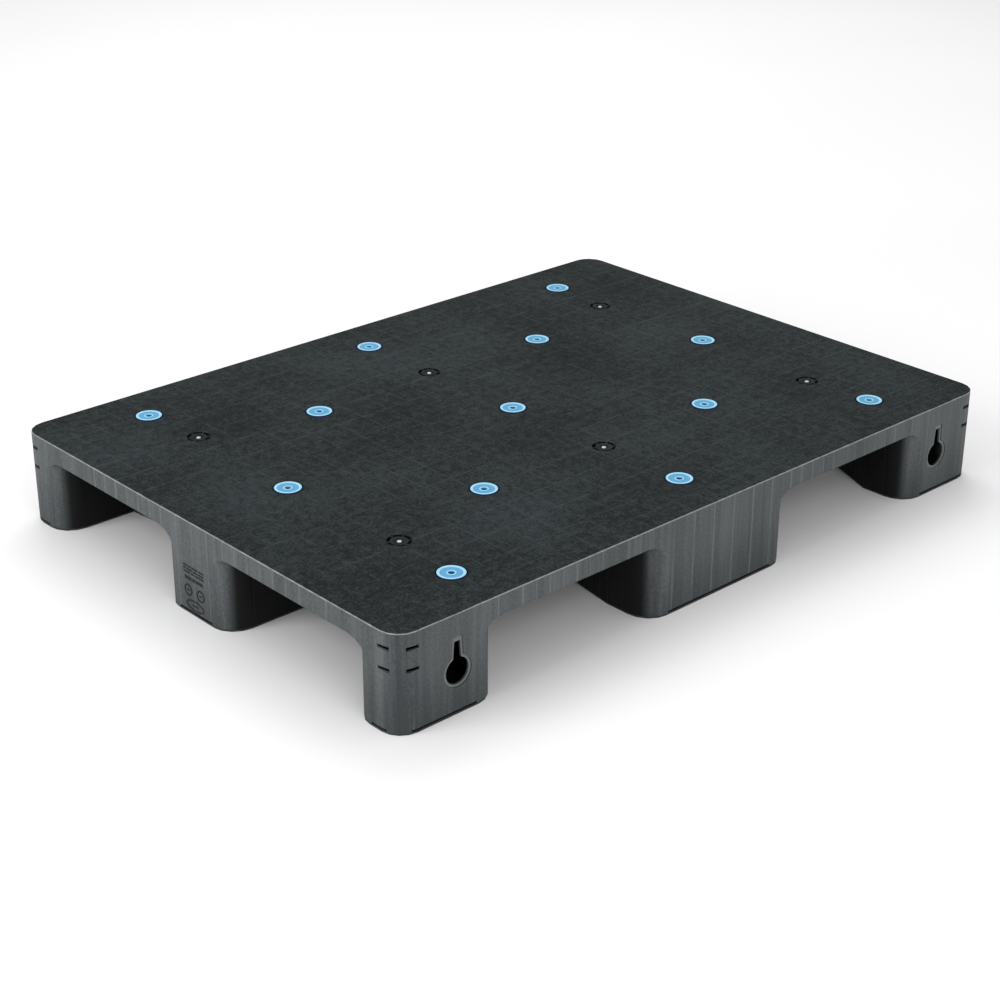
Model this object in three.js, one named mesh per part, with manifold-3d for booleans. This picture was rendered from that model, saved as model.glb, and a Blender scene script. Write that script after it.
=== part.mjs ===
// A nine-legged plastic pallet with a closed deck, four-way fork entry, push-in anti-slip grommets,
// drain inserts and welded-on foot plates. Millimetres, +Z up, origin on the floor under the centre.
import * as THREE from "three";
import { mergeVertices } from "three/addons/utils/BufferGeometryUtils.js";
import Module from "manifold-3d";

const wasm = await Module();
wasm.setup();

// ---- Driving dimensions ----
const LENGTH = 1100; // along X
const WIDTH = 800; // along Y
const DECK_TOP = 134.2; // floor to deck face
const SKIRT_HEIGHT = 27.5; // band around the deck
const DECK_THICKNESS = 4;
const CORNER_RADIUS = 30; // outer vertical corners of the deck and corner legs
const WALL = 4; // skirt and leg walls
const RIB = 2.8; // ribs under the deck and inside the legs

// Leg faces, measured from the pallet's centre planes
const MID_X = 136; // half length of the middle legs
const CORNER_X = 391; // inner face of the end legs
const MID_Y = 72; // half width of the middle row of legs
const CORNER_Y = 315; // fork-side face of the corner legs at the short sides
const INNER_Y = 255; // inner ends of the long-side legs
const BEND_Y = 327; // where the long-side legs start to narrow
const MID_TAPER = 12; // how far a middle leg narrows by INNER_Y
const CORNER_TAPER = 30; // how far a corner leg narrows by INNER_Y
const FIN_X = 437; // where a corner leg's inner fin starts
const FIN_TIP = 10; // width of the fin at INNER_Y
const LEG_RADIUS = 36; // rounding of the leg corners at the fork openings
const INNER_RADIUS = 12; // rounding of the leg corners inside
const CAVITY_RADIUS = 8;
const END_RIB_X = 468; // rib inside each short side's middle leg
const SIDE_RIB_Y = 322; // rib inside each long side's middle leg
const CORNER_RIB_X = 486; // rib inside each corner leg
const FIN_CAVITY_Y = 300; // how far a corner leg's hollow reaches into its fin
const TOP_FILLET = 18; // between the leg faces and the underside of the deck

// Foot plates and the shadow slit above them
const FOOT_THICKNESS = 2.2;
const GAP = 0.3; // clearance between neighbouring pieces
const SLIT_HEIGHT = 2.9;
const SLIT_DEPTH = 7; // through the wall
const FOOT_INSET = 0.5;

// Anti-slip grommets
const GROMMET_X = 397;
const GROMMET_Y = 320;
const INNER_GROMMET_X = 211;
const INNER_GROMMET_Y = 172.5;
const GROMMET_RADIUS = 18.4;
const SEAT_GAP = 1.2; // ring of clearance round a grommet's flange
const GROMMET_PROUD = 0.8;
const FLANGE_DEPTH = 2.6;
const RIM_WIDTH = 4;
const DISH_DEPTH = 1.4;
const DIMPLE_RADIUS = 4.4;
const DIMPLE_DEPTH = 1.6;
const STEM_RADIUS = 14;
const STEM_LENGTH = 11; // below the deck face

// Drain inserts
const DRAIN_X = 388;
const DRAIN_Y = 213;
const MID_DRAIN_Y = 181;
const DRAIN_RADIUS = 16;
const DRAIN_DEPTH = 11;
const FUNNEL_FOOT = 4.6; // radius of the insert's middle funnel at its floor
const FUNNEL_DEPTH = 3;
const PIN_RADIUS = 3.3; // domed pin head standing in the funnel
const SLOT_INNER = 12; // the ring slot runs from here to the insert's edge
const SLOT_DEPTH = 5;
const LUG_LENGTH = 4.6;
const LUG_WIDTH = 3;
const DRAIN_LUGS = 6;

// Keyholes in the long sides of the corner legs
const KEYHOLE_X = 458;
const KEYHOLE_DROP = 76.5; // deck face to the centre of the round part
const KEYHOLE_RADIUS = 17.8;
const KEYHOLE_TOP = 37; // deck face to the end of the slot
const SLOT_TOP_WIDTH = 9;
const SLOT_BOTTOM_WIDTH = 12.5;
const RECESS_BORDER = 3.5;
const RECESS_DEPTH = 1.2;

// Film-tail slits beside each outer corner
const FILM_SLIT_DROPS = [21.3, 49.5];
const FILM_SLIT_START = 17; // from the corner, along each face
const FILM_SLIT_LENGTH = 18;
const FILM_SLIT_HEIGHT = 5.5;

const SKIRT_BOTTOM = DECK_TOP - SKIRT_HEIGHT;
const DECK_UNDERSIDE = DECK_TOP - DECK_THICKNESS;
const LEG_BOTTOM = FOOT_THICKNESS + GAP;
const OUTSIDE = 30; // how far cutters reach past the pallet
const ARC_STEPS = 4; // per quarter turn
const FILLET_STEPS = 3;
const ROUND_SEGMENTS = 16; // visible round edges
const HIDDEN_SEGMENTS = 12; // bosses and holes under the deck
const SIGNS = [-1, 1];

// ---- Outlines and solids ----

/** Points of an arc from angle a to angle b (degrees), both ends included. */
function arc(cx, cy, radius, a, b, steps = ARC_STEPS) {
  const points = [];
  for (let i = 0; i <= steps; i += 1) {
    const angle = THREE.MathUtils.degToRad(a + ((b - a) * i) / steps);
    points.push([cx + radius * Math.cos(angle), cy + radius * Math.sin(angle)]);
  }
  return points;
}

/** A rectangle with round corners. */
function roundedRectangle(x0, x1, y0, y1, r) {
  return [
    ...arc(x0 + r, y0 + r, r, 180, 270),
    ...arc(x1 - r, y0 + r, r, 270, 360),
    ...arc(x1 - r, y1 - r, r, 0, 90),
    ...arc(x0 + r, y1 - r, r, 90, 180),
  ];
}

const circle = (cx, cy, r, n = ROUND_SEGMENTS) => arc(cx, cy, r, 0, 360, n).slice(0, n);
const rectangle = (x0, x1, y0, y1) => [[x0, y0], [x1, y0], [x1, y1], [x0, y1]];

/** A three.js geometry as a solid that can be joined and cut. */
function toSolid(geometry) {
  const bare = geometry.index ? geometry.toNonIndexed() : geometry.clone();
  for (const name of Object.keys(bare.attributes)) {
    if (name !== "position") bare.deleteAttribute(name);
  }
  const merged = mergeVertices(bare, 1e-4);
  return new wasm.Manifold(new wasm.Mesh({
    numProp: 3,
    vertProperties: new Float32Array(merged.attributes.position.array),
    triVerts: new Uint32Array(merged.index.array),
  }));
}

/** A straight extrusion of an outline from z0 to z1. */
function prism(outline, z0, z1) {
  const shape = new THREE.Shape(outline.map(([x, y]) => new THREE.Vector2(x, y)));
  const geometry = new THREE.ExtrudeGeometry(shape, { depth: z1 - z0, bevelEnabled: false });
  return toSolid(geometry.translate(0, 0, z0));
}

const box = (x0, x1, y0, y1, z0, z1) => prism(rectangle(x0, x1, y0, y1), z0, z1);

/** A solid through outlines with equal numbers of points, one per height. */
function loft(layers) {
  const count = layers[0].outline.length;
  const flat = layers[0].outline.map(([x, y]) => new THREE.Vector2(x, y));
  const turn = THREE.ShapeUtils.isClockWise(flat) ? -1 : 1;
  const position = layers.flatMap(({ outline, z }) => outline.flatMap(([x, y]) => [x, y, z]));
  const index = [];
  const triangle = (a, b, c) => index.push(...(turn > 0 ? [a, b, c] : [a, c, b]));
  for (let k = 0; k + 1 < layers.length; k += 1) {
    for (let i = 0; i < count; i += 1) {
      const j = (i + 1) % count;
      const low = k * count;
      const high = low + count;
      triangle(low + i, low + j, high + j);
      triangle(low + i, high + j, high + i);
    }
  }
  const top = (layers.length - 1) * count;
  for (const level of [0, top]) {
    const contour = layers[level / count].outline.map(([x, y]) => new THREE.Vector2(x, y));
    for (const [a, b, c] of THREE.ShapeUtils.triangulateShape(contour, [])) {
      const area = new THREE.Vector2().subVectors(contour[b], contour[a])
        .cross(new THREE.Vector2().subVectors(contour[c], contour[a]));
      const up = area > 0 ? [a, b, c] : [a, c, b];
      const [p, q, r] = level === top ? up : [up[0], up[2], up[1]];
      index.push(level + p, level + q, level + r);
    }
  }
  const geometry = new THREE.BufferGeometry();
  geometry.setAttribute("position", new THREE.Float32BufferAttribute(position, 3));
  geometry.setIndex(index);
  return toSolid(geometry);
}

/** A turned solid about the z axis; profile points are [radius, z]. */
function turned(profile, segments = ROUND_SEGMENTS) {
  const points = profile.map(([r, z]) => new THREE.Vector2(r, z));
  return toSolid(new THREE.LatheGeometry(points, segments).rotateX(Math.PI / 2));
}

const cylinder = (x, y, r, z0, z1, n = ROUND_SEGMENTS) => prism(circle(x, y, r, n), z0, z1);
const union = (solids) => solids.reduce((joined, solid) => joined.add(solid));
const cutAll = (body, solids) => body.subtract(union(solids));

// ---- Fork tunnels ----

/** Heights and insets of a cutter whose top edge is rounded by TOP_FILLET. */
function filletLayers(outlineAt) {
  const layers = [{ outline: outlineAt(0), z: -OUTSIDE }];
  for (let i = 0; i <= FILLET_STEPS; i += 1) {
    const angle = (i / FILLET_STEPS) * (Math.PI / 2);
    layers.push({
      outline: outlineAt(TOP_FILLET * (1 - Math.cos(angle))),
      z: SKIRT_BOTTOM - TOP_FILLET * (1 - Math.sin(angle)),
    });
  }
  return layers;
}

/** Plan of a tunnel along Y at positive x, drawn in by inset. */
function acrossOutline(inset) {
  const r = LEG_RADIUS + inset;
  const midCentre = MID_X - LEG_RADIUS;
  const cornerCentre = CORNER_X + LEG_RADIUS;
  const mouth = WIDTH / 2 - LEG_RADIUS;
  const far = WIDTH / 2 + OUTSIDE;
  const midSide = (y) => [
    [MID_X + inset, y * BEND_Y],
    [MID_X - MID_TAPER + inset, y * INNER_Y],
    [MID_X - MID_TAPER + inset, y * (INNER_Y - 60)],
    [MID_X + inset, y * (INNER_Y - 100)],
  ];
  const cornerSide = (y) => [
    [CORNER_X - inset, y * BEND_Y],
    [CORNER_X + CORNER_TAPER - inset, y * INNER_Y],
    [CORNER_X + CORNER_TAPER - inset, y * (INNER_Y - 60)],
    [CORNER_X - inset, y * (INNER_Y - 100)],
  ];
  return [
    [midCentre, -far],
    [cornerCentre, -far],
    ...arc(cornerCentre, -mouth, r, 270, 180),
    ...cornerSide(-1),
    ...cornerSide(1).reverse(),
    ...arc(cornerCentre, mouth, r, 180, 90),
    [cornerCentre, far],
    [midCentre, far],
    ...arc(midCentre, mouth, r, 90, 0),
    ...midSide(1),
    ...midSide(-1).reverse(),
    ...arc(midCentre, -mouth, r, 360, 270),
  ];
}

/** Plan of a tunnel along X at positive y, drawn in by inset. */
function lengthwiseOutline(inset) {
  const r = LEG_RADIUS + inset;
  const mouth = LENGTH / 2 - LEG_RADIUS;
  const far = LENGTH / 2 + OUTSIDE;
  const midCentre = MID_Y - LEG_RADIUS;
  const cornerCentre = CORNER_Y + LEG_RADIUS;
  const finX = CORNER_X + CORNER_TAPER + FIN_TIP;
  return [
    [-far, midCentre],
    ...arc(-mouth, midCentre, r, 180, 90),
    ...arc(mouth, midCentre, r, 90, 0),
    [far, midCentre],
    [far, cornerCentre],
    ...arc(mouth, cornerCentre, r, 360, 270),
    [FIN_X, CORNER_Y - inset],
    [finX, INNER_Y - inset],
    [-finX, INNER_Y - inset],
    [-FIN_X, CORNER_Y - inset],
    ...arc(-mouth, cornerCentre, r, 270, 180),
    [-far, cornerCentre],
  ];
}

const mirrored = (outline, sx, sy) => outline.map(([x, y]) => [x * sx, y * sy]);

/** What is cut away to round a leg's vertical edge at (x, y); (dx, dy) points into the leg. */
function edgeRounding(x, y, dx, dy, r) {
  const from = dx > 0 ? 180 : 0;
  const to = dy > 0 ? 270 : 90;
  const sweep = (((to - from) % 360) + 540) % 360 - 180;
  const reach = 1;
  const outline = [
    [x - dx * reach, y - dy * reach],
    [x - dx * reach, y + dy * r],
    ...arc(x + dx * r, y + dy * r, r, from, from + sweep, 3),
    [x + dx * r, y - dy * reach],
  ];
  return prism(outline, -OUTSIDE, SKIRT_BOTTOM);
}

function forkTunnels() {
  const across = SIGNS.map((s) => loft(filletLayers((d) => mirrored(acrossOutline(d), s, 1))));
  const along = SIGNS.map((s) => loft(filletLayers((d) => mirrored(lengthwiseOutline(d), 1, s))));
  const edges = [];
  for (const sx of SIGNS) {
    for (const sy of SIGNS) {
      edges.push(edgeRounding(sx * MID_X, sy * MID_Y, -sx, -sy, INNER_RADIUS));
      edges.push(edgeRounding(sx * CORNER_X, sy * MID_Y, sx, -sy, INNER_RADIUS));
      edges.push(edgeRounding(sx * (MID_X - MID_TAPER), sy * INNER_Y, -sx, sy, INNER_RADIUS));
    }
  }
  return union([...across, ...along, ...edges]);
}

// ---- Pockets under the deck and inside the legs ----

/** The hollows inside the nine legs, open below, split by a rib or two each. */
function legCavities() {
  const w = WALL;
  const r = CAVITY_RADIUS;
  const midInner = MID_X - MID_TAPER - w;
  const endX = LENGTH / 2 - w;
  const endY = WIDTH / 2 - w;
  const cavities = [
    roundedRectangle(-MID_X + w, -RIB / 2, -MID_Y + w, MID_Y - w, r),
    roundedRectangle(RIB / 2, MID_X - w, -MID_Y + w, MID_Y - w, r),
  ];
  for (const s of SIGNS) {
    cavities.push(mirrored(roundedRectangle(CORNER_X + w, END_RIB_X, -MID_Y + w, MID_Y - w, r), s, 1));
    cavities.push(mirrored(endCavity(endX, MID_Y - w), s, 1));
    cavities.push(mirrored(roundedRectangle(-midInner, -RIB / 2, INNER_Y + w, SIDE_RIB_Y, r), 1, s));
    cavities.push(mirrored(roundedRectangle(RIB / 2, midInner, INNER_Y + w, SIDE_RIB_Y, r), 1, s));
    cavities.push(mirrored(midSideCavity(endY), 1, s));
    for (const t of SIGNS) {
      cavities.push(mirrored(cornerOuterCavity(endX, endY), s, t));
      cavities.push(mirrored(cornerInnerCavity(endY), s, t));
    }
  }
  return cavities.map((outline) => prism(outline, -OUTSIDE, DECK_UNDERSIDE));
}

/** Outer cell of a short side's middle leg: round where the leg is round outside. */
function endCavity(endX, halfY) {
  const r = LEG_RADIUS - WALL;
  return [
    ...arc(endX - r, halfY - r, r, 0, 90),
    [END_RIB_X + RIB, halfY],
    [END_RIB_X + RIB, -halfY],
    ...arc(endX - r, -halfY + r, r, 270, 360),
  ];
}

/** Outer cell of a long side's middle leg. */
function midSideCavity(endY) {
  const r = LEG_RADIUS - WALL;
  const halfX = MID_X - WALL;
  return [
    [halfX, SIDE_RIB_Y + RIB],
    ...arc(halfX - r, endY - r, r, 0, 90),
    ...arc(-halfX + r, endY - r, r, 90, 180),
    [-halfX, SIDE_RIB_Y + RIB],
  ];
}

/** The corner leg's cell behind the outer corner. */
function cornerOuterCavity(endX, endY) {
  const outer = CORNER_RADIUS - WALL;
  const r = LEG_RADIUS - WALL;
  const y0 = CORNER_Y + WALL;
  return [
    [CORNER_RIB_X, y0],
    ...arc(endX - r, y0 + r, r, 270, 360),
    ...arc(endX - outer, endY - outer, outer, 0, 90),
    [CORNER_RIB_X, endY],
  ];
}

/** The corner leg's cell behind the keyhole. */
function cornerInnerCavity(endY) {
  const r = LEG_RADIUS - WALL;
  const x0 = CORNER_X + WALL;
  return [
    [x0 + 2, BEND_Y],
    [x0 + 12, FIN_CAVITY_Y],
    [FIN_X - 9, FIN_CAVITY_Y],
    [FIN_X, CORNER_Y + WALL],
    [CORNER_RIB_X - RIB, CORNER_Y + WALL],
    [CORNER_RIB_X - RIB, endY],
    ...arc(x0 + r, endY - r, r, 90, 180),
  ];
}

/** Grid lines of the ribs under the deck, on the positive side. */
const RIBS_X = [0, 68, MID_X, 200, 264, 327, CORNER_X, END_RIB_X, LENGTH / 2];
const RIBS_Y = [0, MID_Y, 133, 194, INNER_Y, 327, WIDTH / 2];

function isLeg(ix, iy) {
  const x = (RIBS_X[ix] + RIBS_X[ix + 1]) / 2;
  const y = (RIBS_Y[iy] + RIBS_Y[iy + 1]) / 2;
  const legColumn = x < MID_X || x > CORNER_X;
  return legColumn && (y < MID_Y || y > INNER_Y);
}

/** Pockets between the ribs, kept clear of the legs and their fillets. */
function deckPockets() {
  const clear = TOP_FILLET + 2;
  const pockets = [];
  const lastX = RIBS_X.length - 2;
  const lastY = RIBS_Y.length - 2;
  const margin = (neighbourIsLeg) => (neighbourIsLeg ? clear : RIB / 2);
  for (let ix = 0; ix <= lastX; ix += 1) {
    for (let iy = 0; iy <= lastY; iy += 1) {
      if (isLeg(ix, iy)) continue;
      const x0 = RIBS_X[ix] + margin(ix > 0 && isLeg(ix - 1, iy));
      const x1 = RIBS_X[ix + 1] - (ix === lastX ? WALL : margin(isLeg(ix + 1, iy)));
      const y0 = RIBS_Y[iy] + margin(iy > 0 && isLeg(ix, iy - 1));
      const y1 = RIBS_Y[iy + 1] - (iy === lastY ? WALL : margin(isLeg(ix, iy + 1)));
      for (const outline of fourCopies(x0, x1, y0, y1)) {
        pockets.push(prism(outline, SKIRT_BOTTOM - 1, DECK_UNDERSIDE));
      }
    }
  }
  const mouth = [FIN_X + clear, LENGTH / 2 - WALL, INNER_Y + RIB / 2, CORNER_Y - clear];
  pockets.push(...fourCopies(...mouth).map((o) => prism(o, SKIRT_BOTTOM - 1, DECK_UNDERSIDE)));
  return pockets;
}

function fourCopies(x0, x1, y0, y1) {
  const base = rectangle(x0, x1, y0, y1);
  return SIGNS.flatMap((s) => SIGNS.map((t) => mirrored(base, s, t)));
}

// ---- Places of the repeated small pieces ----

const grommetPlaces = [
  ...[-1, 0, 1].flatMap((i) => [-1, 0, 1].map((j) => [i * GROMMET_X, j * GROMMET_Y, true])),
  ...SIGNS.flatMap((i) => SIGNS.map((j) => [i * INNER_GROMMET_X, j * INNER_GROMMET_Y, false])),
];
const drainPlaces = [
  ...SIGNS.flatMap((i) => SIGNS.map((j) => [i * DRAIN_X, j * DRAIN_Y])),
  ...SIGNS.map((j) => [0, j * MID_DRAIN_Y]),
];

// ---- The deck moulding ----

function grommetSeats() {
  const bosses = [];
  const cuts = [];
  const bossRadius = GROMMET_RADIUS + SEAT_GAP + RIB;
  const flangeFloor = DECK_TOP - FLANGE_DEPTH - GAP;
  for (const [x, y, overLeg] of grommetPlaces) {
    const foot = overLeg ? DECK_TOP - STEM_LENGTH - RIB : SKIRT_BOTTOM;
    const floor = overLeg ? DECK_TOP - STEM_LENGTH - 1 : SKIRT_BOTTOM - 1;
    bosses.push(cylinder(x, y, bossRadius, foot, DECK_UNDERSIDE + 1, HIDDEN_SEGMENTS));
    cuts.push(cylinder(x, y, GROMMET_RADIUS + SEAT_GAP, flangeFloor, DECK_TOP + 5));
    cuts.push(cylinder(x, y, STEM_RADIUS + 3 * GAP, floor, DECK_TOP, HIDDEN_SEGMENTS));
  }
  return { bosses, cuts };
}

function drainSeats() {
  const bosses = [];
  const cuts = [];
  const bossRadius = DRAIN_RADIUS + RIB;
  const ledge = DECK_TOP - DRAIN_DEPTH - GAP;
  for (const [x, y] of drainPlaces) {
    bosses.push(cylinder(x, y, bossRadius, SKIRT_BOTTOM, DECK_UNDERSIDE + 1, HIDDEN_SEGMENTS));
    cuts.push(cylinder(x, y, DRAIN_RADIUS + GAP, ledge, DECK_TOP + 5));
    cuts.push(cylinder(x, y, DRAIN_RADIUS - WALL, SKIRT_BOTTOM - 1, DECK_TOP, HIDDEN_SEGMENTS));
  }
  return { bosses, cuts };
}

/** A plate standing in the XZ plane, its outline in x and z, spanning y0 to y1. */
function uprightPlate(outline, y0, y1) {
  const shape = new THREE.Shape(outline.map(([x, z]) => new THREE.Vector2(x, z)));
  const geometry = new THREE.ExtrudeGeometry(shape, { depth: y1 - y0, bevelEnabled: false });
  return toSolid(geometry.rotateX(Math.PI / 2).translate(0, y1, 0));
}

/** Keyhole outline in x and z, grown by border. */
function keyholeOutline(x, border) {
  const r = KEYHOLE_RADIUS + border;
  const centre = DECK_TOP - KEYHOLE_DROP;
  const top = DECK_TOP - KEYHOLE_TOP + border * 1.6;
  const halfTop = SLOT_TOP_WIDTH / 2 + border * 0.75;
  const halfBottom = SLOT_BOTTOM_WIDTH / 2 + border * 0.75;
  const meet = THREE.MathUtils.radToDeg(Math.acos(halfBottom / r));
  return [
    ...arc(x, centre, r, meet, -180 - meet, 4 * ARC_STEPS),
    [x - halfTop, top],
    [x + halfTop, top],
  ];
}

function keyholeCuts() {
  const cuts = [];
  for (const sx of SIGNS) {
    for (const sy of SIGNS) {
      const face = (sy * WIDTH) / 2;
      const span = (depth) => [face - sy * depth, face + sy * 5].sort((a, b) => a - b);
      cuts.push(uprightPlate(keyholeOutline(sx * KEYHOLE_X, RECESS_BORDER), ...span(RECESS_DEPTH)));
      cuts.push(uprightPlate(keyholeOutline(sx * KEYHOLE_X, 0), ...span(WALL + 2)));
    }
  }
  return cuts;
}

function filmSlitCuts() {
  const cuts = [];
  const deep = WALL + 5;
  for (const sx of SIGNS) {
    for (const sy of SIGNS) {
      for (const drop of FILM_SLIT_DROPS) {
        const z0 = DECK_TOP - drop - FILM_SLIT_HEIGHT / 2;
        const z1 = z0 + FILM_SLIT_HEIGHT;
        const end = FILM_SLIT_START + FILM_SLIT_LENGTH;
        const onLong = rectangle(
          LENGTH / 2 - end, LENGTH / 2 - FILM_SLIT_START, WIDTH / 2 - deep, WIDTH / 2 + 1,
        );
        const onShort = rectangle(
          LENGTH / 2 - deep, LENGTH / 2 + 1, WIDTH / 2 - end, WIDTH / 2 - FILM_SLIT_START,
        );
        cuts.push(prism(mirrored(onLong, sx, sy), z0, z1));
        cuts.push(prism(mirrored(onShort, sx, sy), z0, z1));
      }
    }
  }
  return cuts;
}

/** Shadow slits along the straight outer parts of the legs, just above the foot plates. */
function footSlitCuts() {
  const z0 = LEG_BOTTOM - 1;
  const z1 = LEG_BOTTOM + SLIT_HEIGHT;
  const cuts = [];
  const slits = [];
  const faceX = [LENGTH / 2 - SLIT_DEPTH, LENGTH / 2 + 1];
  const faceY = [WIDTH / 2 - SLIT_DEPTH, WIDTH / 2 + 1];
  const cornerEndX = LENGTH / 2 - CORNER_RADIUS + 8;
  const cornerEndY = WIDTH / 2 - CORNER_RADIUS + 8;
  slits.push(rectangle(-MID_X + LEG_RADIUS, MID_X - LEG_RADIUS, ...faceY));
  slits.push(rectangle(CORNER_X + LEG_RADIUS, cornerEndX, ...faceY));
  slits.push(rectangle(...faceX, -MID_Y + LEG_RADIUS, MID_Y - LEG_RADIUS));
  slits.push(rectangle(...faceX, CORNER_Y + LEG_RADIUS, cornerEndY));
  for (const outline of slits) {
    for (const s of SIGNS) {
      for (const t of SIGNS) cuts.push(prism(mirrored(outline, s, t), z0, z1));
    }
  }
  return cuts;
}

function deckMoulding() {
  const halfX = LENGTH / 2;
  const halfY = WIDTH / 2;
  const block = prism(roundedRectangle(-halfX, halfX, -halfY, halfY, CORNER_RADIUS), LEG_BOTTOM, DECK_TOP);
  const hollow = cutAll(block, [forkTunnels(), ...legCavities(), ...deckPockets()]);
  const seats = [grommetSeats(), drainSeats()];
  const bossed = union([hollow, ...seats.flatMap((seat) => seat.bosses)]);
  return cutAll(bossed, [
    ...seats.flatMap((seat) => seat.cuts),
    ...keyholeCuts(),
    ...filmSlitCuts(),
    ...footSlitCuts(),
  ]);
}

// ---- Foot plates ----

/** A plate across the whole pallet, cut by the tunnels into nine foot plates. */
function footPlates() {
  const halfX = LENGTH / 2 - FOOT_INSET;
  const halfY = WIDTH / 2 - FOOT_INSET;
  const sheet = prism(
    roundedRectangle(-halfX, halfX, -halfY, halfY, CORNER_RADIUS - FOOT_INSET), 0, FOOT_THICKNESS,
  ).subtract(forkTunnels());
  const splitX = [-LENGTH, -MID_X - 50, MID_X + 50, LENGTH];
  const splitY = [-WIDTH, -MID_Y - 50, MID_Y + 50, WIDTH];
  const columns = ["left", "middle", "right"];
  const rows = ["front", "centre", "back"];
  const plates = [];
  columns.forEach((column, i) => {
    rows.forEach((row, j) => {
      const cell = box(splitX[i], splitX[i + 1], splitY[j], splitY[j + 1], -1, FOOT_THICKNESS + 1);
      plates.push([`foot_plate_${row}_${column}`, sheet.intersect(cell)]);
    });
  });
  return plates;
}

// ---- Small round pieces, built about their own axis with the deck face at z = 0 ----

function grommet() {
  return turned([
    [0, -STEM_LENGTH],
    [STEM_RADIUS - 1, -STEM_LENGTH],
    [STEM_RADIUS, -FLANGE_DEPTH],
    [GROMMET_RADIUS, -FLANGE_DEPTH],
    [GROMMET_RADIUS, 0],
    [GROMMET_RADIUS - 0.8, GROMMET_PROUD],
    [GROMMET_RADIUS - RIM_WIDTH, GROMMET_PROUD],
    [DIMPLE_RADIUS, GROMMET_PROUD - DISH_DEPTH],
    [0, GROMMET_PROUD - DISH_DEPTH - DIMPLE_DEPTH],
  ]);
}

function drainInsert() {
  const face = -GAP;
  const slotFloor = face - SLOT_DEPTH;
  const insert = turned([
    [0, -DRAIN_DEPTH],
    [DRAIN_RADIUS, -DRAIN_DEPTH],
    [DRAIN_RADIUS, slotFloor],
    [SLOT_INNER, slotFloor],
    [SLOT_INNER, face],
    [FUNNEL_FOOT + 2, face],
    [FUNNEL_FOOT, face - FUNNEL_DEPTH],
    [PIN_RADIUS, face - FUNNEL_DEPTH],
    [PIN_RADIUS, face - 1.4],
    [PIN_RADIUS * 0.6, face - 0.5],
    [0, face - 0.3],
  ]);
  const lugs = [];
  for (let i = 0; i < DRAIN_LUGS; i += 1) {
    const lug = new THREE.BoxGeometry(LUG_LENGTH, LUG_WIDTH, SLOT_DEPTH + 1)
      .translate(SLOT_INNER - 1 + LUG_LENGTH / 2, 0, slotFloor - 1 + (SLOT_DEPTH + 1) / 2)
      .rotateZ(((i + 0.5) / DRAIN_LUGS) * 2 * Math.PI);
    lugs.push(toSolid(lug));
  }
  return union([insert, ...lugs]);
}

// ---- Assembly ----

const BLACK = { color: 0x24282a, roughness: 0.55, metalness: 0 };
const FOOT_BLACK = { color: 0x202324, roughness: 0.6, metalness: 0 };
const INSERT_BLACK = { color: 0x1e2122, roughness: 0.6, metalness: 0 };
const BLUE = { color: 0x6cb4dc, roughness: 0.6, metalness: 0 };

/** A named mesh of a solid, with a material of its own. */
function piece(name, solid, look) {
  const mesh = solid.getMesh();
  const geometry = new THREE.BufferGeometry();
  geometry.setAttribute("position", new THREE.Float32BufferAttribute(mesh.vertProperties, 3));
  geometry.setIndex([...mesh.triVerts]);
  geometry.computeVertexNormals();
  const result = new THREE.Mesh(geometry, new THREE.MeshStandardMaterial(look));
  result.name = name;
  return result;
}

/** Numbered copies of a small piece, set into the deck face at each place. */
function setIntoDeck(name, solid, look, places) {
  const group = new THREE.Group();
  group.position.z = DECK_TOP;
  places.forEach(([x, y], i) => {
    const copy = piece(`${name}_${String(i + 1).padStart(2, "0")}`, solid, look);
    copy.position.set(x, y, 0);
    group.add(copy);
  });
  return group;
}

const soles = new THREE.Group();
footPlates().forEach(([name, solid]) => soles.add(piece(name, solid, FOOT_BLACK)));

const pallet = new THREE.Group();
pallet.add(
  piece("deck_moulding", deckMoulding(), BLACK),
  soles,
  setIntoDeck("grommet", grommet(), BLUE, grommetPlaces),
  setIntoDeck("drain_insert", drainInsert(), INSERT_BLACK, drainPlaces),
);

export default pallet;
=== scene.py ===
"""Looks of a black plastic pallet with pale blue grommets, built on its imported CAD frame."""
from collections import namedtuple
import math

import bmesh
import bpy
from mathutils import Matrix, Vector


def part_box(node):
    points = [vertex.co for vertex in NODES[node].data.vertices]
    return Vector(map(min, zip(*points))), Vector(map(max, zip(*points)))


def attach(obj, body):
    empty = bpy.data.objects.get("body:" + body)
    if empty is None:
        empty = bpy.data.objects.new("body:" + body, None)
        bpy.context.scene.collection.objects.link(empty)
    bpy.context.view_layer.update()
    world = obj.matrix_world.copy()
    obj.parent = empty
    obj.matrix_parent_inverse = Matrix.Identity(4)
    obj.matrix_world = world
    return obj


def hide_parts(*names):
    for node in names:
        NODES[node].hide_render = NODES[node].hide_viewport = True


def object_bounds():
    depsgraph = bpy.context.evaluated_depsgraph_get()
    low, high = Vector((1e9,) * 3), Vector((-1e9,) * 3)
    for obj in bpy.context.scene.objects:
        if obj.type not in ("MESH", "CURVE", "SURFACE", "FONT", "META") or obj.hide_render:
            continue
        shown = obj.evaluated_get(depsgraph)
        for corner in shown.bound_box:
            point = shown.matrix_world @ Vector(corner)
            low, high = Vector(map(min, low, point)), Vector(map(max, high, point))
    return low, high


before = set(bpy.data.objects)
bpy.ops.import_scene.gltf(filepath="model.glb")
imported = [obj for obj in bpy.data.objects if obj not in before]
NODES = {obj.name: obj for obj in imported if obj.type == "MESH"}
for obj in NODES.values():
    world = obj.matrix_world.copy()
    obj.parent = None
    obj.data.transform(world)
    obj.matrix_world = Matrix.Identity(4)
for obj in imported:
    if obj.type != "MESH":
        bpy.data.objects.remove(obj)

CAD_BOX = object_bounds()
MM = 0.001

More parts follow.
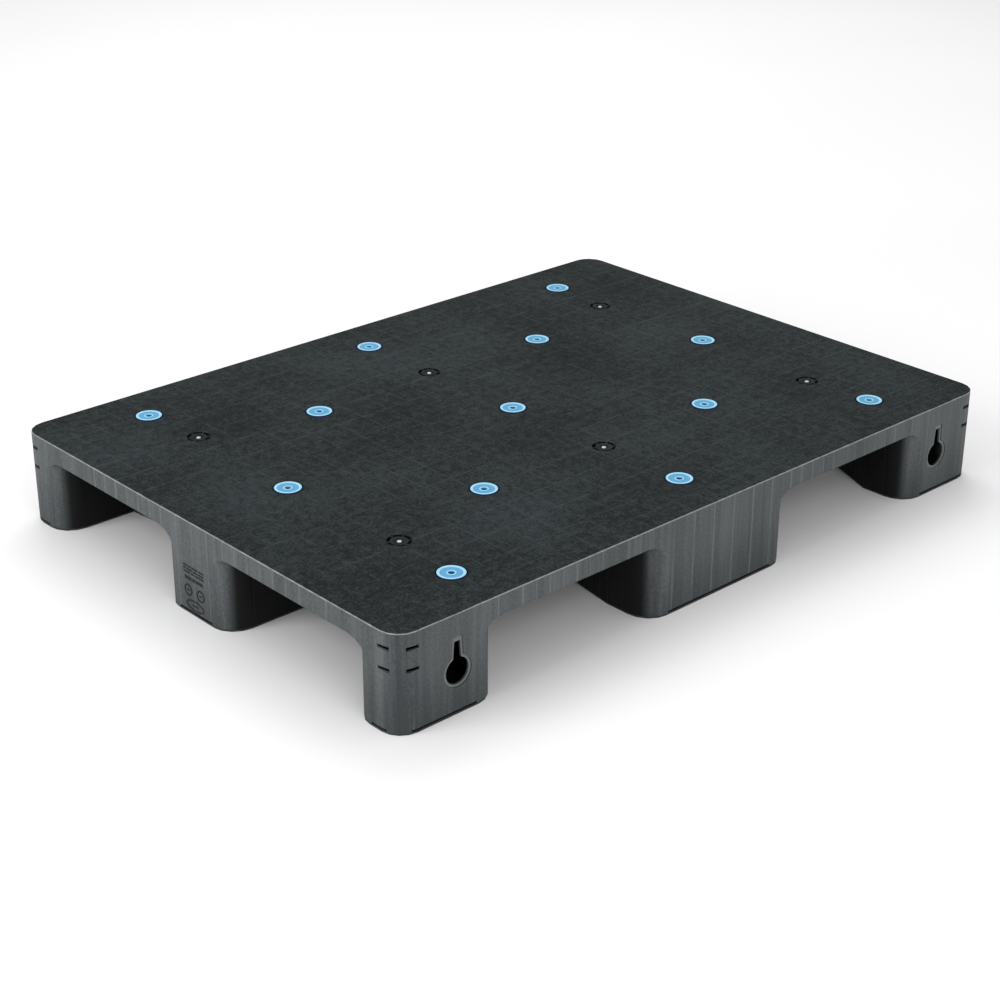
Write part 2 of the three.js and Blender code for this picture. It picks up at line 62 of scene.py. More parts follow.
# Camera: degrees, metres and millimetres of lens, placed from the middle of the deck
CAMERA_AZIMUTH = -42.67
CAMERA_ELEVATION = 25.47
CAMERA_ROLL = 0.24
CAMERA_DISTANCE = 2.8727
CAMERA_OFFSET = (-0.0182, -0.1311)  # right and up from the line through the deck's middle
CAMERA_LENS = 73.22
SENSOR = 36.0

# The moulding's soft edges
SMOOTH_BELOW = math.radians(36)
EDGE_RADIUS = 1.5 * MM
EDGE_SEGMENTS = 3

ROUND_STEPS = 56


# ---- Mesh helpers ----

def new_object(name, bm):
    mesh = bpy.data.meshes.new(name)
    bm.to_mesh(mesh)
    bm.free()
    obj = bpy.data.objects.new(name, mesh)
    bpy.context.scene.collection.objects.link(obj)
    return obj


def lathe(bm, profile, centre):
    """A turned surface about a vertical axis; profile holds (radius, z) in millimetres, top to bottom."""
    rings = []
    for radius, z in profile:
        if radius == 0:
            rings.append([bm.verts.new((centre.x, centre.y, centre.z + z * MM))])
            continue
        ring = []
        for i in range(ROUND_STEPS):
            a = 2 * math.pi * i / ROUND_STEPS
            ring.append(bm.verts.new((
                centre.x + radius * MM * math.cos(a),
                centre.y + radius * MM * math.sin(a),
                centre.z + z * MM,
            )))
        rings.append(ring)
    for upper, lower in zip(rings, rings[1:]):
        for i in range(ROUND_STEPS):
            j = (i + 1) % ROUND_STEPS
            if len(upper) == 1:
                bm.faces.new((upper[0], lower[i], lower[j]))
            elif len(lower) == 1:
                bm.faces.new((upper[j], upper[i], lower[0]))
            else:
                bm.faces.new((upper[i], lower[i], lower[j], upper[j]))


def smooth_by_angle(bm, limit=SMOOTH_BELOW):
    for face in bm.faces:
        face.smooth = True
    for edge in bm.edges:
        edge.smooth = len(edge.link_faces) == 2 and edge.calc_face_angle(0) < limit


def weighted_normals(obj):
    modifier = obj.modifiers.new("weighted normals", "WEIGHTED_NORMAL")
    modifier.keep_sharp = True


def apply_modifiers(obj):
    graph = bpy.context.evaluated_depsgraph_get()
    mesh = bpy.data.meshes.new_from_object(obj.evaluated_get(graph))
    obj.modifiers.clear()
    obj.data = mesh


# ---- Places taken from the frame ----

def top_centre(name):
    low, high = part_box(name)
    return Vector(((low.x + high.x) / 2, (low.y + high.y) / 2, high.z))


SEATS = {
    kind: [top_centre(name) for name in NODES if name.startswith(kind)]
    for kind in ("grommet", "drain")
}
GROMMET_TOP = SEATS["grommet"][0].z
DECK_LEVEL = (GROMMET_TOP - 4 * MM, GROMMET_TOP - 2 * MM)  # just under the deck's top surface
HALF = (CAD_BOX[1] - CAD_BOX[0]) / 2


# ---- Node helpers for materials ----

class Nodes:
    """A short way to write a material's node tree."""

    def __init__(self, name):
        self.material = bpy.data.materials.new(name)
        self.material.use_nodes = True
        self.tree = self.material.node_tree
        self.shader = self.tree.nodes["Principled BSDF"]
        self.place = self.add("ShaderNodeTexCoord").outputs["Object"]

    def add(self, kind, **settings):
        node = self.tree.nodes.new(kind)
        for key, value in settings.items():
            setattr(node, key, value)
        return node

    def put(self, socket, value):
        if isinstance(value, bpy.types.NodeSocket):
            self.tree.links.new(value, socket)
        else:
            socket.default_value = value

    def math(self, operation, *values):
        node = self.add("ShaderNodeMath", operation=operation)
        for socket, value in zip(node.inputs, values):
            self.put(socket, value)
        return node.outputs[0]

    def ramp(self, value, low, high, to_low=0.0, to_high=1.0):
        """Eases from one value to the other between low and high, and stays level beyond."""
        return self.linear(value, low, high, to_low, to_high, "SMOOTHSTEP")

    def noise(self, scale, detail=2.0, place=None, roughness=0.5):
        node = self.add("ShaderNodeTexNoise")
        self.put(node.inputs["Vector"], place or self.place)
        node.inputs["Scale"].default_value = scale
        node.inputs["Detail"].default_value = detail
        node.inputs["Roughness"].default_value = roughness
        return node.outputs["Fac"]

    def stretched(self, x, y, z):
        node = self.add("ShaderNodeVectorMath", operation="MULTIPLY")
        self.put(node.inputs[0], self.place)
        node.inputs[1].default_value = (x, y, z)
        return node.outputs[0]

    def mix(self, amount, one, two):
        node = self.add("ShaderNodeMix", data_type="RGBA")
        self.put(node.inputs["Factor"], amount)
        self.put(node.inputs[6], one)
        self.put(node.inputs[7], two)
        return node.outputs[2]

    def blend(self, amount, one, two):
        """A number between two others."""
        change = self.math("SUBTRACT", two, one)
        return self.math("MULTIPLY_ADD", amount, change, one)

    def axes(self, vector):
        node = self.add("ShaderNodeSeparateXYZ")
        self.put(node.inputs[0], vector)
        return node.outputs[0], node.outputs[1], node.outputs[2]

    def linear(self, value, low, high, to_low, to_high, interpolation="LINEAR"):
        node = self.add("ShaderNodeMapRange", interpolation_type=interpolation)
        for key, item in (
            ("Value", value), ("From Min", low), ("From Max", high),
            ("To Min", to_low), ("To Max", to_high),
        ):
            self.put(node.inputs[key], item)
        return node.outputs["Result"]

    def ribs(self, coordinate, zones):
        """Counts ribs outward from the middle: whole numbers fall on ribs."""
        distance = self.math("ABSOLUTE", coordinate)
        count = zones.first
        start = 0.0
        for end, total in zones.steps:
            more = self.linear(distance, start, end, 0.0, total)
            count = self.math("ADD", count, more)
            start = end
        return count

    def line(self, count, width):
        """1 where count is whole, fading to 0 over width, a share of the spacing."""
        return self.ramp(self.math("PINGPONG", count, 0.5), 0.0, width, 1.0, 0.0)

    def between(self, value, low, high, soft):
        return self.math("MULTIPLY", self.ramp(value, low - soft, low),
                         self.ramp(value, high, high + soft, 1.0, 0.0))

    def bump(self, height, strength, distance, after=None):
        node = self.add("ShaderNodeBump")
        node.inputs["Strength"].default_value = strength
        node.inputs["Distance"].default_value = distance
        self.put(node.inputs["Height"], height)
        if after is not None:
            self.put(node.inputs["Normal"], after)
        return node.outputs["Normal"]


# ---- Materials ----

# Ribs behind the skin: each step is where a zone ends (m) and how many spacings it holds
RibZones = namedtuple("RibZones", "first steps")
RIBS_X = RibZones(0.5, ((0.1316, 3.5), (0.3551, 5), (0.550, 5)))
RIBS_Y = RibZones(0.0, ((0.0664, 2), (0.3254, 5), (0.400, 2)))

DECK_DARK = (0.0020, 0.0032, 0.0036, 1)
DECK_LIGHT = (0.0290, 0.0375, 0.0400, 1)
SEAT_DARK = (0.0010, 0.0060, 0.0220, 1)
# The sides are coloured lighter than the deck as painted reflection of the bright floor; grain and
# streaks are their own
SIDE_DARK = (0.040, 0.045, 0.0475, 1)
SIDE_LIGHT = (0.108, 0.118, 0.122, 1)
# Painted shade colour for faces under the deck and in the legs
INNER_SHADE = (0.0045, 0.0048, 0.0050, 1)
# Painted highlight colour, for rims, cut edges, the deck's top edge, the side rib lines and the keyholes'
# recess floors
PAINTED_HIGHLIGHT = (0.28, 0.29, 0.295, 1)
MOULDING_SPECULAR = 0.14

GROMMET_FACE = (0.070, 0.285, 0.490, 1)
GROMMET_RIM_HIGHLIGHT = (0.300, 0.580, 0.740, 1)
GROMMET_HOLLOW_SHADE = (0.003, 0.030, 0.080, 1)
GROMMET_DUST = (0.12, 0.36, 0.54, 1)
GROMMET_WALL_SHADE = (0.002, 0.020, 0.075, 1)

INSERT_DARK = (0.0020, 0.0030, 0.0034, 1)
INSERT_LIGHT = (0.0150, 0.0195, 0.0210, 1)
PIN_PALE = (0.45, 0.47, 0.47, 1)
SOLE_DARK = (0.016, 0.018, 0.019, 1)
SOLE_LIGHT = (0.030, 0.033, 0.034, 1)
# The marks' near-black colour is painted shade, standing in for the shade in their moulded lines
MARK_SHADE_DARK = (0.0015, 0.0018, 0.0020, 1)
MARK_SHADE_LIGHT = (0.005, 0.006, 0.006, 1)

KEYHOLE_ZONE = (0.434, 0.482)  # how far along the long sides the keyholes reach
CORNER_LEG_X = (0.395, 0.415)  # where the corner legs begin, from the middle
CORNER_LEG_Y = (0.270, 0.290)
SEAT_SHADE = (0.0200, 0.0225)  # the dark line round a grommet, from its centre
SEAT_WALL = (0.0176, 0.0182)  # where a grommet's face turns down, from its centre

# Depths behind the outer faces
RIM_DEPTH = (0.8 * MM, 1.6 * MM)
RECESS_DEPTH = (1.0 * MM, 1.5 * MM)
INNER_SHADE_DEPTH = (6 * MM, 20 * MM)
CORNER_SHADE_DEPTH = (8 * MM, 30 * MM)


def moulding_material():
    """Black polyolefin: leather-grained deck with the ribs reading through, streaked smoother sides
    coloured lighter as painted reflection of the floor, with painted highlights and painted shade.
    """
    n = Nodes("black_moulding")
    x, y, z = n.axes(n.place)
    normal = n.add("ShaderNodeNewGeometry").outputs["Normal"]
    nx, ny, nz = (n.math("ABSOLUTE", a) for a in n.axes(normal))
    deck = n.math("MULTIPLY", n.ramp(nz, 0.80, 0.96), n.ramp(z, *DECK_LEVEL))
    grid, bands = rib_lines(n, x, y, nx, ny, deck)
    mottle = n.noise(75.0, 4.0, roughness=0.7)
    grain = n.noise(330.0, 3.0, roughness=0.6)
    streaks = n.noise(1.0, 4.0, n.stretched(150.0, 150.0, 7.0), 0.62)

    top = deck_color(n, mottle, grain, grid)
    sides = side_color(n, (x, y, z), (nx, ny, nz), (mottle, grain, streaks), bands)
    n.put(n.shader.inputs["Base Color"], n.mix(deck, sides, top))

    deck_rough = n.ramp(grain, 0.35, 0.65, 0.80, 0.94)
    side_rough = n.ramp(streaks, 0.3, 0.7, 0.46, 0.62)
    n.put(n.shader.inputs["Roughness"], n.blend(deck, side_rough, deck_rough))
    n.shader.inputs["Specular IOR Level"].default_value = MOULDING_SPECULAR

    relief = n.bump(n.math("MULTIPLY", n.math("ADD", grid, bands), -1.0), 1.0, 0.0008)
    fine = n.math("MULTIPLY", grain, n.linear(deck, 0, 1, 0.20, 1.0))
    n.put(n.shader.inputs["Normal"], n.bump(fine, 0.6, 0.0005, relief))
    return n.material


def rib_lines(n, x, y, nx, ny, deck):
    """The ribs reading through the deck and the sides as broken lines."""
    broken = n.ramp(n.noise(9.0, 4.0, roughness=0.65), 0.38, 0.62, 0.30, 1.0)
    count_x = n.ribs(x, RIBS_X)
    count_y = n.ribs(y, RIBS_Y)
    grid = n.math("MAXIMUM", n.line(count_x, 0.052), n.line(count_y, 0.052))
    towards_front_left = n.math("SUBTRACT", n.math("MULTIPLY", y, -1.0), x)
    faded = n.ramp(towards_front_left, 0.60, 0.85, 1.0, 0.25)
    grid = n.math("MULTIPLY", n.math("MULTIPLY", n.math("MULTIPLY", grid, broken), faded), deck)
    on_long = n.math("MULTIPLY", side_lines(n, x, count_x, RIBS_X), n.ramp(ny, 0.6, 0.8))
    on_short = n.math("MULTIPLY", side_lines(n, y, count_y, RIBS_Y), n.ramp(nx, 0.6, 0.8))
    shown = n.math("MULTIPLY", broken, off_corners(n, x, y))
    return grid, n.math("MULTIPLY", n.math("ADD", on_long, on_short), shown)


def side_lines(n, along, count, zones):
    """Ribs behind a side, twice as many where the fork openings leave only the band."""
    first, last = zones.steps[0][0], zones.steps[1][0]
    opening = n.between(n.math("ABSOLUTE", along), first, last, 0.001)
    fine = n.math("MULTIPLY", n.line(n.math("MULTIPLY", count, 2.0), 0.10), opening)
    return n.math("MAXIMUM", n.line(count, 0.07), fine)


def off_corners(n, x, y):
    """Low on the corner legs, whose faces show next to no lines."""
    end = n.ramp(n.math("ABSOLUTE", x), *CORNER_LEG_X)
    side = n.ramp(n.math("ABSOLUTE", y), *CORNER_LEG_Y)
    return n.math("SUBTRACT", 1.0, n.math("MULTIPLY", n.math("MULTIPLY", end, side), 0.8))


def deck_color(n, mottle, grain, grid):
    cloud = n.noise(6.0, 3.0)
    tone = n.math("ADD", n.math("MULTIPLY", mottle, 0.45), n.math("MULTIPLY", cloud, 0.30))
    tone = n.math("ADD", tone, n.math("MULTIPLY", grain, 0.70))
    # The rib lines are real grooves in the bump; their lighter colour here is painted highlight
    tone = n.math("ADD", tone, n.math("MULTIPLY", grid, 0.13))
    color = n.mix(n.ramp(tone, 0.56, 0.94), DECK_DARK, DECK_LIGHT)
    shade = n.ramp(seat_distance(n, "grommet"), *SEAT_SHADE, 0.95, 0.0)
    return n.mix(shade, color, SEAT_DARK)


def side_color(n, place, facing, textures, bands):
    """Streaked sides: painted highlights at the rims, the deck's top edge and the rib lines, darker low
    down, painted shade at the corners, under the deck and on the keyhole walls.
    """
    x, y, z = place
    nx, ny, nz = facing
    mottle, grain, streaks = textures
    depth_x = n.math("SUBTRACT", HALF.x, n.math("ABSOLUTE", x))
    depth_y = n.math("SUBTRACT", HALF.y, n.math("ABSOLUTE", y))

    panels = n.noise(1.0, 2.0, n.stretched(34.0, 34.0, 2.0), 0.5)
    tone = n.math("ADD", n.math("MULTIPLY", streaks, 0.50), n.math("MULTIPLY", panels, 0.45))
    tone = n.math("ADD", tone, n.math("MULTIPLY", grain, 0.50))
    tone = n.math("SUBTRACT", tone, n.ramp(z, 0.0, 0.10, 0.16, 0.0))
    # Painted shade down the rounded vertical corners
    near_end = n.ramp(depth_x, *CORNER_SHADE_DEPTH, 1.0, 0.0)
    corner = n.math("MULTIPLY", near_end, n.ramp(depth_y, *CORNER_SHADE_DEPTH, 1.0, 0.0))
    tone = n.math("SUBTRACT", tone, n.math("MULTIPLY", corner, 0.20))
    color = n.mix(n.ramp(tone, 0.40, 1.02), SIDE_DARK, SIDE_LIGHT)

    keyhole = n.between(n.math("ABSOLUTE", x), *KEYHOLE_ZONE, 0.001)
    long_rims = cut_edges(n, depth_y, ny)
    rims = n.math("MAXIMUM", cut_edges(n, depth_x, nx), n.blend(keyhole, long_rims, 0.0))
    top_edge = n.math("MULTIPLY", n.ramp(z, *DECK_LEVEL), n.between(nz, 0.15, 0.80, 0.1))
    rims = n.math("MAXIMUM", rims, top_edge)
    # Painted highlight on the rims, cut edges and top edge, broken up by the mottle, and on the side rib
    # lines
    painted_highlight = n.math("MULTIPLY", rims, n.ramp(mottle, 0.35, 0.65, 0.45, 0.95))
    painted_highlight = n.math("MAXIMUM", painted_highlight, n.math("MULTIPLY", bands, 0.24))
    color = n.mix(painted_highlight, color, PAINTED_HIGHLIGHT)

    # Painted highlight on the keyholes' recess floor, and painted shade on their walls
    color = n.mix(n.math("MULTIPLY", sunk_face(n, depth_y, ny), 0.30), color, PAINTED_HIGHLIGHT)
    keyhole_wall_shade = n.math("MULTIPLY", n.math("MULTIPLY", keyhole, long_rims), 0.8)
    color = n.mix(keyhole_wall_shade, color, INNER_SHADE)
    # Painted shade: faces more than a few millimetres behind the outer faces turn dark
    inner_shade = n.ramp(n.math("MINIMUM", depth_x, depth_y), *INNER_SHADE_DEPTH)
    return n.mix(inner_shade, color, INNER_SHADE)


def cut_edges(n, depth, facing):
    """Rims and walls of what is cut into an outer face, and the face's own rounded borders."""
    shallow = n.ramp(depth, *RIM_DEPTH, 1.0, 0.0)
    return n.math("MULTIPLY", shallow, n.ramp(facing, 0.45, 0.85, 1.0, 0.0))


def sunk_face(n, depth, facing):
    """The floor of the keyholes' shallow recess."""
    flat = n.ramp(facing, 0.985, 0.995)
    return n.math("MULTIPLY", n.between(depth, *RECESS_DEPTH, 0.2 * MM), flat)


def seat_distance(n, kind):
    """Distance (m) to the nearest seat of one kind, whose places mirror in x and y."""
    mirrored = n.add("ShaderNodeVectorMath", operation="ABSOLUTE")
    n.put(mirrored.inputs[0], n.place)
    nearest = 1.0
    for seat in SEATS[kind]:
        if min(seat.xy) < -MM:
            continue
        far = n.add("ShaderNodeVectorMath", operation="DISTANCE")
        n.put(far.inputs[0], mirrored.outputs[0])
        far.inputs[1].default_value = seat
        nearest = n.math("MINIMUM", nearest, far.outputs["Value"])
    return nearest


def plain_plastic(name, dark, light, rough):
    """Plain black polyolefin with a fine grain and slight clouding."""
    n = Nodes(name)
    cloud = n.ramp(n.noise(45.0, 4.0), 0.3, 0.7)
    n.put(n.shader.inputs["Base Color"], n.mix(cloud, dark, light))
    n.put(n.shader.inputs["Roughness"], n.linear(cloud, 0, 1, rough - 0.07, rough + 0.07))
    n.shader.inputs["Specular IOR Level"].default_value = 0.4
    n.put(n.shader.inputs["Normal"], n.bump(n.noise(700.0, 2.0), 0.3, 0.0003))
    return n.material


def insert_material():
    """Black insert, with a pale glossy pin head standing in its funnel."""
    n = Nodes("black_insert")
    cloud = n.noise(45.0, 4.0)
    speck = n.ramp(n.noise(330.0, 3.0), 0.3, 0.7)
    black = n.mix(speck, INSERT_DARK, INSERT_LIGHT)
    pin = n.ramp(seat_distance(n, "drain"), PIN_RADIUS, PIN_RADIUS + 0.2 * MM, 1.0, 0.0)
    n.put(n.shader.inputs["Base Color"], n.mix(pin, black, PIN_PALE))
    n.put(n.shader.inputs["Roughness"], n.blend(pin, n.ramp(cloud, 0.3, 0.7, 0.72, 0.86), 0.22))
    n.shader.inputs["Specular IOR Level"].default_value = MOULDING_SPECULAR
    n.put(n.shader.inputs["Normal"], n.bump(speck, 0.3, 0.0002))
    return n.material


def grommet_material():
    """Pale blue elastomer: painted highlight on the rims, painted shade in the hollows and on the outer
    wall.
    """
    n = Nodes("blue_elastomer")
    z = n.axes(n.place)[2]
    # Painted highlight on the raised rims
    height = n.ramp(z, GROMMET_TOP - 0.0012, GROMMET_TOP - 0.0003)
    # Painted shade in the sunk centre
    hollow_shade = n.ramp(z, GROMMET_TOP - 0.0030, GROMMET_TOP - 0.0016)
    cloud = n.noise(120.0, 3.0)
    face = n.mix(height, GROMMET_FACE, GROMMET_RIM_HIGHLIGHT)
    face = n.mix(hollow_shade, GROMMET_HOLLOW_SHADE, face)
    dusty = n.mix(n.ramp(cloud, 0.45, 0.75, 0.0, 0.30), face, GROMMET_DUST)
    # Painted shade on the outer wall where the grommet meets the deck
    wall = n.ramp(seat_distance(n, "grommet"), *SEAT_WALL)
    n.put(n.shader.inputs["Base Color"], n.mix(wall, dusty, GROMMET_WALL_SHADE))
    n.shader.inputs["Specular IOR Level"].default_value = 0.25
    n.put(n.shader.inputs["Roughness"], n.ramp(cloud, 0.3, 0.7, 0.48, 0.66))
    n.put(n.shader.inputs["Normal"], n.bump(n.noise(900.0, 2.0), 0.2, 0.0002))
    return n.material


# ---- The moulding ----

SEAT_REACH = 22 * MM

# Shares of EDGE_RADIUS
SEAT_SHARE = 0.16
FACE_SHARE = 0.3


def near_seat(point):
    seats = SEATS["grommet"] + SEATS["drain"]
    return any((point.xy - seat.xy).length < SEAT_REACH for seat in seats)


def edge_weight(edge):
    """How wide an edge of the moulding is rounded, as a share of EDGE_RADIUS."""
    if not edge.is_manifold or not edge.is_convex or edge.calc_face_angle(0) < SMOOTH_BELOW:
        return 0.0
    a, b = (vert.co for vert in edge.verts)
    middle = (a + b) / 2
    if near_seat(middle):
        return SEAT_SHARE
    if min(a.z, b.z) > GROMMET_TOP - 3 * MM:
        return 1.0
    on_face = abs(middle.x) > HALF.x - 0.5 * MM or abs(middle.y) > HALF.y - 0.5 * MM
    return FACE_SHARE if on_face else 0.0


def moulding_surface():
    """The CAD moulding with its flat faces joined up and its visible edges rounded."""
    bm = bmesh.new()
    bm.from_mesh(NODES["deck_moulding"].data)
    bmesh.ops.remove_doubles(bm, verts=bm.verts, dist=2e-6)
    bmesh.ops.dissolve_limit(bm, angle_limit=math.radians(0.6), verts=bm.verts, edges=bm.edges)
    weights = bm.edges.layers.float.new("bevel_weight_edge")
    for edge in bm.edges:
        edge[weights] = edge_weight(edge)
    smooth_by_angle(bm)
    obj = new_object("moulding", bm)
    bevel = obj.modifiers.new("soft edges", "BEVEL")
    bevel.limit_method = "WEIGHT"
    bevel.width = EDGE_RADIUS
    bevel.segments = EDGE_SEGMENTS
    bevel.use_clamp_overlap = False
    bevel.harden_normals = False
    bevel.miter_outer = "MITER_ARC"
    weighted_normals(obj)
    return obj


# ---- Small pieces ----

GROMMET_PROFILE = [
    (0, -4.6), (3.6, -4.6), (4.1, -4.3), (4.2, -1.3), (4.6, -0.45), (5.3, -0.15), (6.1, -0.4),
    (6.7, -1.2), (7.4, -1.4), (13.2, -1.3), (13.9, -1.1), (14.4, -0.4), (14.8, -0.08),
    (15.3, 0.0), (17.3, 0.0), (18.0, -0.18), (18.35, -0.6), (18.4, -1.1), (18.4, -3.4),
    (14.0, -3.4), (13.9, -6.0), (13.2, -11.8), (0, -11.8),
]
DRAIN_PROFILE = [
    (0, 0.0), (1.2, -0.06), (2.3, -0.30), (3.0, -0.75), (3.3, -1.4), (3.3, -3.0), (4.6, -3.0),
    (4.9, -1.6), (5.6, -0.5), (6.6, 0.0), (11.4, 0.0), (11.85, -0.15), (12.0, -0.6),
    (12.0, -5.0), (15.9, -5.0), (16.0, -5.2), (16.0, -10.7), (15.7, -10.7), (0, -10.7),
]
PIN_RADIUS = 3.35 * MM
LUG = (4.6, 2.4, 5.6)  # outward, across and down, in millimetres
LUG_START = 11.1
LUG_DROP = 0.2
LUGS = 6
PLATE_EDGE = 0.4 * MM


def grommet(name, centre):
    bm = bmesh.new()
    lathe(bm, GROMMET_PROFILE, centre)
    smooth_by_angle(bm, math.radians(50))
    obj = new_object(name, bm)
    weighted_normals(obj)
    return obj


def drain(name, centre):
    bm = bmesh.new()
    lathe(bm, DRAIN_PROFILE, centre)
    body = new_object(name, bm)
    lugs = bmesh.new()
    for i in range(LUGS):
        turn = Matrix.Rotation(2 * math.pi * (i + 0.5) / LUGS, 4, "Z")
        size = Matrix.Diagonal((*(s * MM for s in LUG), 1))
        out = Matrix.Translation((
            (LUG_START + LUG[0] / 2) * MM,
            0,
            (-LUG_DROP - LUG[2] / 2) * MM,
        ))
        bmesh.ops.create_cube(lugs, size=1, matrix=Matrix.Translation(centre) @ turn @ out @ size)
    cutter = new_object(name + "_lugs", lugs)
    union = body.modifiers.new("lugs", "BOOLEAN")
    union.operation = "UNION"
    union.object = cutter
    apply_modifiers(body)
    bpy.data.objects.remove(cutter)
    bm = bmesh.new()
    bm.from_mesh(body.data)
    smooth_by_angle(bm, math.radians(40))
    bm.to_mesh(body.data)
    bm.free()
    weighted_normals(body)
    return body


def soften_plate(obj):
    """Joins a foot plate's flat faces and rounds its edges, with modifiers only."""
    join = obj.modifiers.new("flat faces", "DECIMATE")
    join.decimate_type = "DISSOLVE"
    join.angle_limit = math.radians(1)
    bevel = obj.modifiers.new("soft edges", "BEVEL")
    bevel.width = PLATE_EDGE
    bevel.segments = 2
    bevel.limit_method = "ANGLE"
    bevel.angle_limit = math.radians(40)


# ---- Moulded marks on a short side's middle leg: unlettered bars, two rings and an oval ----

MARK_RELIEF = 0.5 * MM
MARK_ROOT = 0.3 * MM  # how deep the marks' bodies reach into the wall
MARK_ROWS = [  # height above the floor, bar height, bar lengths from left to right, in millimetres
    (69.0, 2.2, (9, 5, 13, 10)),
    (64.6, 2.2, (5, 12, 8, 12)),
    (60.2, 2.2, (14, 6, 18)),
    (52.0, 4.2, (14, 5, 15)),
]
MARK_GAP = 2.4
MARK_RINGS = [  # centre and radii, along y and up
    ((13.5, 34.5), (8.4, 8.4)),
    ((-13.5, 34.5), (8.4, 8.4)),
    ((0.0, 15.0), (19.5, 7.6)),
]
MARK_LINE = 2.0
MARK_EDGE = 0.12 * MM
RING_STEPS = 36


def raised_band(bm, outer, inner):
    """A flat raised ring between two outlines of (y, z) in metres, on the face at lowest x."""
    root = -HALF.x + MARK_ROOT
    crest = -HALF.x - MARK_RELIEF
    loops = []
    for outline, x in ((outer, root), (outer, crest), (inner, crest), (inner, root)):
        loops.append([bm.verts.new((x, y, z)) for y, z in outline])
    count = len(outer)
    for one, other in zip(loops, loops[1:] + loops[:1]):
        for i in range(count):
            j = (i + 1) % count
            bm.faces.new((one[i], one[j], other[j], other[i]))


def raised_bar(bm, y, z, length, height):
    """A raised bar from y towards lower y, centred on height z, in millimetres."""
    size = (MARK_ROOT + MARK_RELIEF, length * MM, height * MM)
    centre = (-HALF.x + (MARK_ROOT - MARK_RELIEF) / 2, (y - length / 2) * MM, z * MM)
    place = Matrix.Translation(centre) @ Matrix.Diagonal((*size, 1))
    bmesh.ops.create_cube(bm, size=1, matrix=place)


def ellipse(centre, radii, inset):
    points = []
    for i in range(RING_STEPS):
        a = 2 * math.pi * i / RING_STEPS
        points.append(((centre[0] + (radii[0] - inset) * math.cos(a)) * MM,
                       (centre[1] + (radii[1] - inset) * math.sin(a)) * MM))
    return points


def marks():
    bm = bmesh.new()
    for z, height, lengths in MARK_ROWS:
        y = (sum(lengths) + MARK_GAP * (len(lengths) - 1)) / 2
        for length in lengths:
            raised_bar(bm, y, z, length, height)
            y -= length + MARK_GAP
    for centre, radii in MARK_RINGS:
        raised_band(bm, ellipse(centre, radii, 0), ellipse(centre, radii, MARK_LINE))
        raised_bar(bm, centre[0] + radii[0] / 3, centre[1], radii[0] * 2 / 3, MARK_LINE)
    bmesh.ops.recalc_face_normals(bm, faces=bm.faces)
    obj = new_object("moulded_marks", bm)
    bevel = obj.modifiers.new("soft edges", "BEVEL")
    bevel.width = MARK_EDGE
    bevel.segments = 1
    return obj


def dress(obj, material):
    obj.data.materials.clear()
    obj.data.materials.append(material)


def build_object():
    moulding = moulding_surface()
    dress(moulding, moulding_material())
    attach(moulding, "root")
    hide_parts("deck_moulding")
    blue = grommet_material()
    black = insert_material()
    sole = plain_plastic("black_sole", SOLE_DARK, SOLE_LIGHT, 0.6)
    for name in sorted(NODES):
        if name.startswith("grommet"):
            piece = grommet(name.replace("grommet", "blue_grommet"), top_centre(name))
            dress(piece, blue)
        elif name.startswith("drain_insert"):
            piece = drain(name.replace("drain_insert", "drain"), top_centre(name))
            dress(piece, black)
        elif name.startswith("foot_plate"):
            dress(NODES[name], sole)
            soften_plate(NODES[name])
            continue
        else:
            continue
        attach(piece, "root")
        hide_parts(name)
    relief = marks()
    # Painted shade: the marks are coloured darker than the moulding they belong to
    marks_shade = plain_plastic("marks_painted_shade", MARK_SHADE_DARK, MARK_SHADE_LIGHT, 0.8)
    dress(relief, marks_shade)
    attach(relief, "root")


# ---- Stage ----

FLOOR_DARK = (0.83, 0.83, 0.83, 1)
FLOOR_LIGHT = (0.85, 0.85, 0.85, 1)
FLOOR_SIZE = 9
FLOOR_DROP = 0.3 * MM
WORLD_STRENGTH = 0.75
LIGHT_AIM = Vector((0, 0, 0.05))
LIGHTS = [  # name, place, width and height in metres, watts
    ("left", (-3.2, 0.4, 2.0), (2.2, 1.8), 58),
    ("right", (-1.3, -3.2, 2.0), (2.4, 1.8), 42),
    ("back", (1.6, 2.2, 3.2), (3.0, 3.0), 55),
]


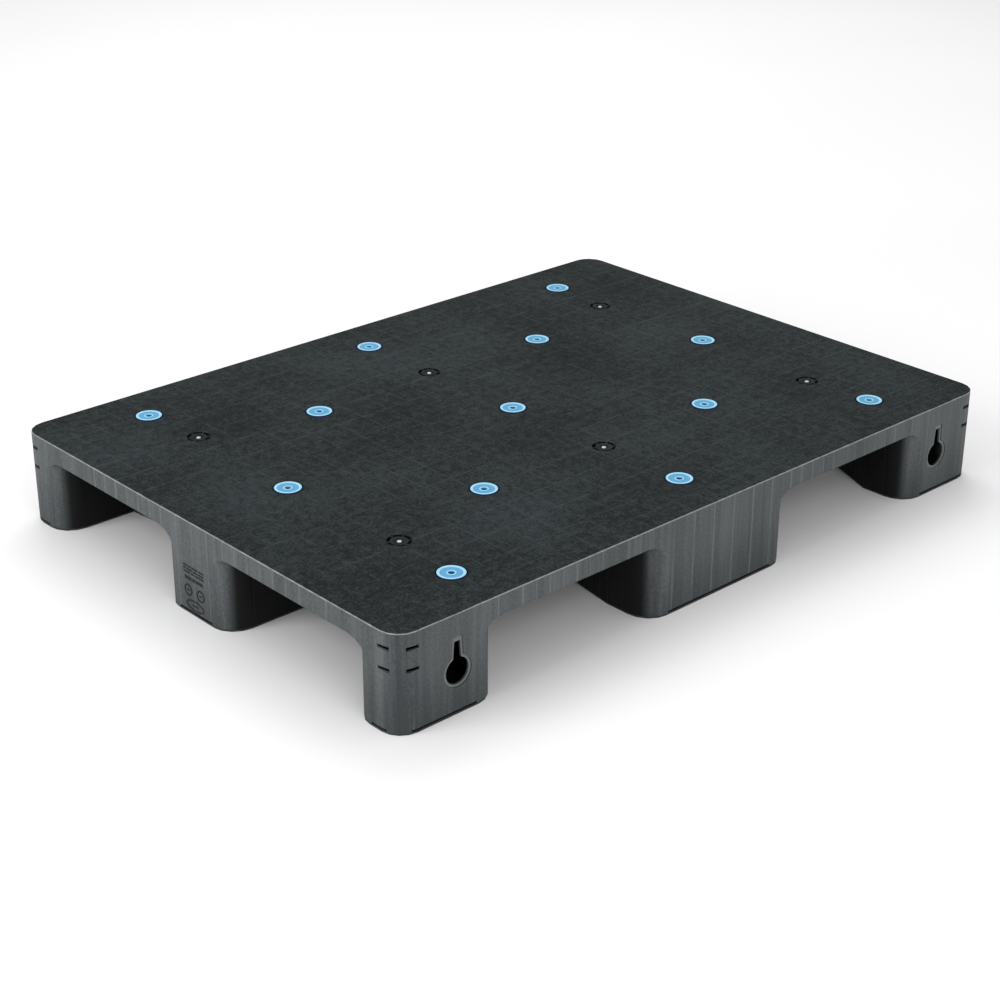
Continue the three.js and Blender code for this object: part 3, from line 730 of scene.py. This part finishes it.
def floor():
    bm = bmesh.new()
    bmesh.ops.create_grid(bm, x_segments=1, y_segments=1, size=FLOOR_SIZE)
    obj = new_object("floor", bm)
    obj.location.z = -FLOOR_DROP
    n = Nodes("pale_floor")
    tone = n.ramp(n.noise(0.8, 2.0), 0.3, 0.7)
    n.put(n.shader.inputs["Base Color"], n.mix(tone, FLOOR_DARK, FLOOR_LIGHT))
    n.shader.inputs["Roughness"].default_value = 0.9
    obj.data.materials.append(n.material)


def area_light(name, place, size, power):
    data = bpy.data.lights.new(name, "AREA")
    data.shape = "RECTANGLE"
    data.size, data.size_y = size
    data.energy = power
    obj = bpy.data.objects.new(name, data)
    obj.location = place
    obj.rotation_euler = (Vector(place) - LIGHT_AIM).to_track_quat("Z", "Y").to_euler()
    bpy.context.scene.collection.objects.link(obj)


def lights():
    world = bpy.data.worlds.new("studio")
    world.use_nodes = True
    background = world.node_tree.nodes["Background"]
    background.inputs["Color"].default_value = (1, 1, 1, 1)
    background.inputs["Strength"].default_value = WORLD_STRENGTH
    bpy.context.scene.world = world
    for light in LIGHTS:
        area_light(*light)


def camera():
    a, e, r = (math.radians(v) for v in (CAMERA_AZIMUTH, CAMERA_ELEVATION, CAMERA_ROLL))
    back = Vector((math.sin(a) * math.cos(e), -math.cos(a) * math.cos(e), math.sin(e)))
    right = (-back).cross(Vector((0, 0, 1))).normalized()
    up = right.cross(-back)
    turned_right = math.cos(r) * right + math.sin(r) * up
    turned_up = math.cos(r) * up - math.sin(r) * right
    deck = Vector((0, 0, GROMMET_TOP))
    place = deck + back * CAMERA_DISTANCE
    place += turned_right * CAMERA_OFFSET[0] + turned_up * CAMERA_OFFSET[1]
    data = bpy.data.cameras.new("camera")
    data.sensor_width = SENSOR
    data.lens = CAMERA_LENS
    data.clip_end = 50
    obj = bpy.data.objects.new("camera", data)
    turn = Matrix((turned_right, turned_up, back)).transposed().to_4x4()
    obj.matrix_world = Matrix.Translation(place) @ turn
    bpy.context.scene.collection.objects.link(obj)
    bpy.context.scene.camera = obj


build_object()
floor()
lights()
camera()
bpy.context.scene.view_settings.view_transform = "Standard"
